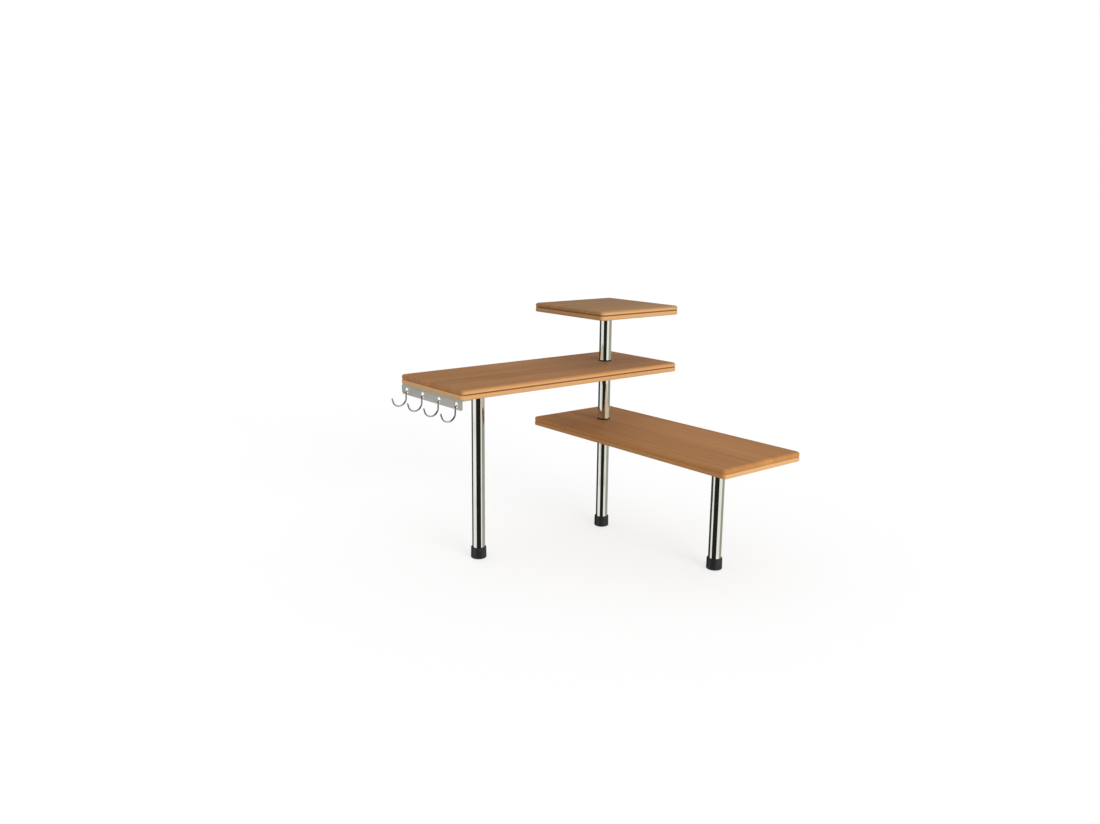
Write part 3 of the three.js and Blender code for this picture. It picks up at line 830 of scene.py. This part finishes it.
# Floor and backdrop: one wide sheet of white paper, which keeps the shelf's soft shadow, in a white room.
# The paper and the air beyond it are the same white to the eye, and polished metal mirrors the air.
FLOOR_RADIUS = 9.0
FLOOR_SIDES = 144
FLOOR_DROP = 0.2 * MM
FLOOR_WHITE = (0.85, 0.85, 0.85, 1.0)
PURE_WHITE = (1.0, 1.0, 1.0, 1.0)
PAPER_GLOW = 0.6
PAPER_GLOW_STRENGTH = 1.11
AMBIENT_LIGHT = 0.80
SEEN_LIGHT = 1.0


def seen_directly(tree):
    """1 for what the camera sees itself or by way of a mirror or clear glass, 0 for scattered light."""
    rays = add_node(tree, "ShaderNodeLightPath").outputs
    either = arithmetic(tree, "MAXIMUM", rays["Is Camera Ray"], rays["Is Glossy Ray"])
    return arithmetic(tree, "MAXIMUM", either, rays["Is Transmission Ray"])


def staged_sheet(name, corners, material):
    """A flat sheet with these corners that stages the shelf and is no part of it."""
    shape = bmesh.new()
    shape.faces.new([shape.verts.new(corner) for corner in corners])
    mesh = bpy.data.meshes.new(name)
    shape.to_mesh(mesh)
    shape.free()
    mesh.materials.append(material)
    sheet = bpy.data.objects.new(name, mesh)
    bpy.context.scene.collection.objects.link(sheet)
    return sheet


def bare_material(name):
    """A material with an empty node tree."""
    material = bpy.data.materials.new(name)
    material.use_nodes = True
    material.node_tree.nodes.clear()
    return material, material.node_tree


paper, tree = bare_material("white_paper")
matt = add_node(tree, "ShaderNodeBsdfDiffuse", {"Color": FLOOR_WHITE})
glow = add_node(tree, "ShaderNodeEmission", {"Color": PURE_WHITE, "Strength": PAPER_GLOW_STRENGTH})
share = arithmetic(tree, "MULTIPLY", seen_directly(tree), PAPER_GLOW)
mixed = add_node(tree, "ShaderNodeMixShader", {0: share, 1: matt.outputs[0], 2: glow.outputs[0]})
add_node(tree, "ShaderNodeOutputMaterial", {"Surface": mixed.outputs[0]})
floor_rim = circle(0, 0, FLOOR_RADIUS, FLOOR_SIDES)
floor = staged_sheet("paper_floor", [(x, y, -FLOOR_DROP) for x, y in floor_rim], paper)
floor.visible_glossy = False

world = bpy.data.worlds.new("white_studio")
bpy.context.scene.world = world
world.use_nodes = True
tree = world.node_tree
tree.nodes.clear()
strength = spread(tree, seen_directly(tree), (0.0, 1.0), (AMBIENT_LIGHT, SEEN_LIGHT))
air = add_node(tree, "ShaderNodeBackground", {"Color": PURE_WHITE, "Strength": strength})
add_node(tree, "ShaderNodeOutputWorld", {"Surface": air.outputs[0]})


# Studio cards: glowing panels that only mirrored rays meet, painted reflections that give the polished steel
# something to mirror.
# Three stand round the shelf for the stripes on the tubes, and four hang at the rail for it and its hooks.
# Two lie on the long boards, from the post outwards, as a painted reflection of the warm sheen of their wood
# low on the tubes.
CARD_FOOT = -1.2
CARD_HEAD = 1.0
BACK_CARD_HEAD = 0.25
CARD_CHARCOAL = (0.020, 0.020, 0.018, 1.0)
CARD_SLATE = (0.05, 0.05, 0.045, 1.0)
CARD_STONE = (0.40, 0.395, 0.33, 1.0)
SHEEN_REFLECTION_TAN = (0.71, 0.60, 0.47, 1.0)
RAIL_CARD_OVERHANG = 120.0 * MM
RAIL_CARD_REACH = 45.0 * MM
RAIL_CARD_SPLIT = 6.0 * MM
RAIL_CARD_RISE = 0.3 * MM
SIDE_CARD_LEFT = 20.0 * MM
SIDE_CARD_RIGHT = 160.0 * MM
SIDE_CARD_BACK = 35.0 * MM
SIDE_CARD_DROP = 42.5 * MM
SIDE_CARD_HEIGHT = 37.0 * MM
SHEEN_RISE = 0.3 * MM
SHEEN_INSET = 1.0 * MM
LOWER_SHEEN_NEAR = (11.0 * MM, -4.0 * MM)
LOWER_SHEEN_SOUTH = 230.0 * MM
LOWER_SHEEN_EAST = -40.0 * MM
LOWER_SHEEN_NORTH = 30.0 * MM
MIDDLE_SHEEN_NEAR_LEFT = (-10.0 * MM, -11.0 * MM)
MIDDLE_SHEEN_NEAR_RIGHT = (2.0 * MM, -11.0 * MM)
MIDDLE_SHEEN_FAR = (40.0 * MM, -200.0 * MM)
MIDDLE_SHEEN_WEST = -90.0 * MM


def studio_card(name, corners, colour):
    """An evenly glowing panel of one colour, a painted reflection that only mirrored rays meet."""
    paint, tree = bare_material(name + "_paint")
    reflection_glow = add_node(tree, "ShaderNodeEmission", {"Color": colour, "Strength": 1.0})
    add_node(tree, "ShaderNodeOutputMaterial", {"Surface": reflection_glow.outputs[0]})
    card = staged_sheet(name, corners, paint)
    card.visible_camera = False
    card.visible_diffuse = False
    card.visible_transmission = False
    card.visible_shadow = False


def upright_card(name, azimuth, distance, half_width, head, colour):
    """A card that stands facing the post, its azimuth in degrees from -Y towards +X."""
    turn = math.radians(azimuth)
    away = Vector((math.sin(turn), -math.cos(turn), 0)) * distance
    along = Vector((math.cos(turn), math.sin(turn), 0)) * half_width
    left, right = away - along, away + along
    studio_card(name, [(left.x, left.y, CARD_FOOT), (right.x, right.y, CARD_FOOT),
                       (right.x, right.y, head), (left.x, left.y, head)], colour)


upright_card("front_card", azimuth=44, distance=0.52, half_width=0.33, head=CARD_HEAD, colour=CARD_CHARCOAL)
upright_card("left_card", azimuth=-94, distance=1.6, half_width=1.95, head=CARD_HEAD, colour=CARD_SLATE)
upright_card("back_card", azimuth=172, distance=1.6, half_width=2.1, head=BACK_CARD_HEAD, colour=CARD_STONE)


def rail_card(name, right, near, far, rise, colour):
    """A level card over the rail and its hooks; near and far count outwards from the rail's face."""
    left, height = rail_low.x - RAIL_CARD_OVERHANG, rail_high.z + rise
    studio_card(name, [(x, rail_low.y - out, height) for x, out in (
        (left, near), (right, near), (right, far), (left, far))], colour)


# Painted shade: the charcoal hook card is a dark sheet over the hooks, which their upper sides mirror as
# shade.
rail_card("hook_card", rail_high.x + RAIL_CARD_OVERHANG, RAIL_CARD_REACH, RAIL_CARD_SPLIT,
          RAIL_CARD_RISE, CARD_CHARCOAL)
rail_card("rail_card", rail_high.x, RAIL_CARD_SPLIT, -RAIL_CARD_REACH, RAIL_CARD_RISE, CARD_STONE)
rail_card("hook_card_back", rail_high.x, RAIL_CARD_REACH, -RAIL_CARD_REACH, 2 * RAIL_CARD_RISE, PURE_WHITE)

side_card_top = rail_high.z - SIDE_CARD_DROP
side_card_bottom = side_card_top - SIDE_CARD_HEIGHT
studio_card("hook_side_card", [(x, rail_low.y + SIDE_CARD_BACK, z) for x, z in (
    (SIDE_CARD_LEFT, side_card_bottom), (SIDE_CARD_RIGHT, side_card_bottom),
    (SIDE_CARD_RIGHT, side_card_top), (SIDE_CARD_LEFT, side_card_top))], CARD_CHARCOAL)

# Painted reflection: tan cards lie just over the long boards, so that the tubes mirror them as the wood's
# warm sheen.
lower_low, lower_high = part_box("lower_shelf")
middle_low, middle_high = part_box("middle_shelf")
south, north = lower_low.y + SHEEN_INSET, lower_high.y - SHEEN_INSET
west, east = middle_low.x + SHEEN_INSET, lower_high.x - SHEEN_INSET
lower_sheen = (LOWER_SHEEN_NEAR, (LOWER_SHEEN_SOUTH, south), (east, LOWER_SHEEN_EAST),
               (east, north), (LOWER_SHEEN_NORTH, north))
middle_sheen = (MIDDLE_SHEEN_NEAR_LEFT, MIDDLE_SHEEN_NEAR_RIGHT, MIDDLE_SHEEN_FAR,
                (west, MIDDLE_SHEEN_FAR[1]), (west, MIDDLE_SHEEN_WEST))
for name, outline, board_top in (
        ("lower_sheen_card", lower_sheen, lower_high.z), ("middle_sheen_card", middle_sheen, middle_high.z)):
    studio_card(name, [(x, y, board_top + SHEEN_RISE) for x, y in outline], SHEEN_REFLECTION_TAN)


# Studio light: one large soft lamp stands low on the right and lights the boards' right-hand sides.
# The white room lights everything else evenly, and polished metal doesn't mirror the lamp.
KEY_AZIMUTH = math.radians(84)
KEY_HEIGHT = math.radians(10)
KEY_SPREAD = math.radians(40)
KEY_STRENGTH = 3.3

key_lamp = bpy.data.lights.new("key_lamp", "SUN")
key_lamp.energy = KEY_STRENGTH
key_lamp.angle = KEY_SPREAD
key = bpy.data.objects.new("key_lamp", key_lamp)
key_from = Vector((math.sin(KEY_AZIMUTH) * math.cos(KEY_HEIGHT),
                   -math.cos(KEY_AZIMUTH) * math.cos(KEY_HEIGHT), math.sin(KEY_HEIGHT)))
key.rotation_euler = key_from.to_track_quat("Z", "Y").to_euler()
key.visible_glossy = False
bpy.context.scene.collection.objects.link(key)


# Camera: at the eye of someone who stands at the worktop, on the open side of the corner.
# It looks down a little at the post, between the two long boards.
CAMERA_PLACE = Vector((1.1985, -1.0920, 0.5475))
CAMERA_YAW = math.radians(50.90)
CAMERA_PITCH = math.radians(12.10)
CAMERA_ROLL = math.radians(0.61)
CAMERA_LENS = 31.82
CAMERA_SENSOR = 36.0

ahead = Vector((-math.sin(CAMERA_YAW) * math.cos(CAMERA_PITCH),
                math.cos(CAMERA_YAW) * math.cos(CAMERA_PITCH), -math.sin(CAMERA_PITCH)))
level_right = Vector((math.cos(CAMERA_YAW), math.sin(CAMERA_YAW), 0))
level_up = level_right.cross(ahead)
right = math.cos(CAMERA_ROLL) * level_right + math.sin(CAMERA_ROLL) * level_up
up = math.cos(CAMERA_ROLL) * level_up - math.sin(CAMERA_ROLL) * level_right
lens = bpy.data.cameras.new("camera")
lens.lens = CAMERA_LENS
lens.sensor_width = CAMERA_SENSOR
camera = bpy.data.objects.new("camera", lens)
camera.matrix_world = Matrix.Translation(CAMERA_PLACE) @ Matrix((right, up, -ahead)).transposed().to_4x4()
bpy.context.scene.collection.objects.link(camera)
bpy.context.scene.camera = camera
bpy.context.scene.view_settings.view_transform = "Standard"
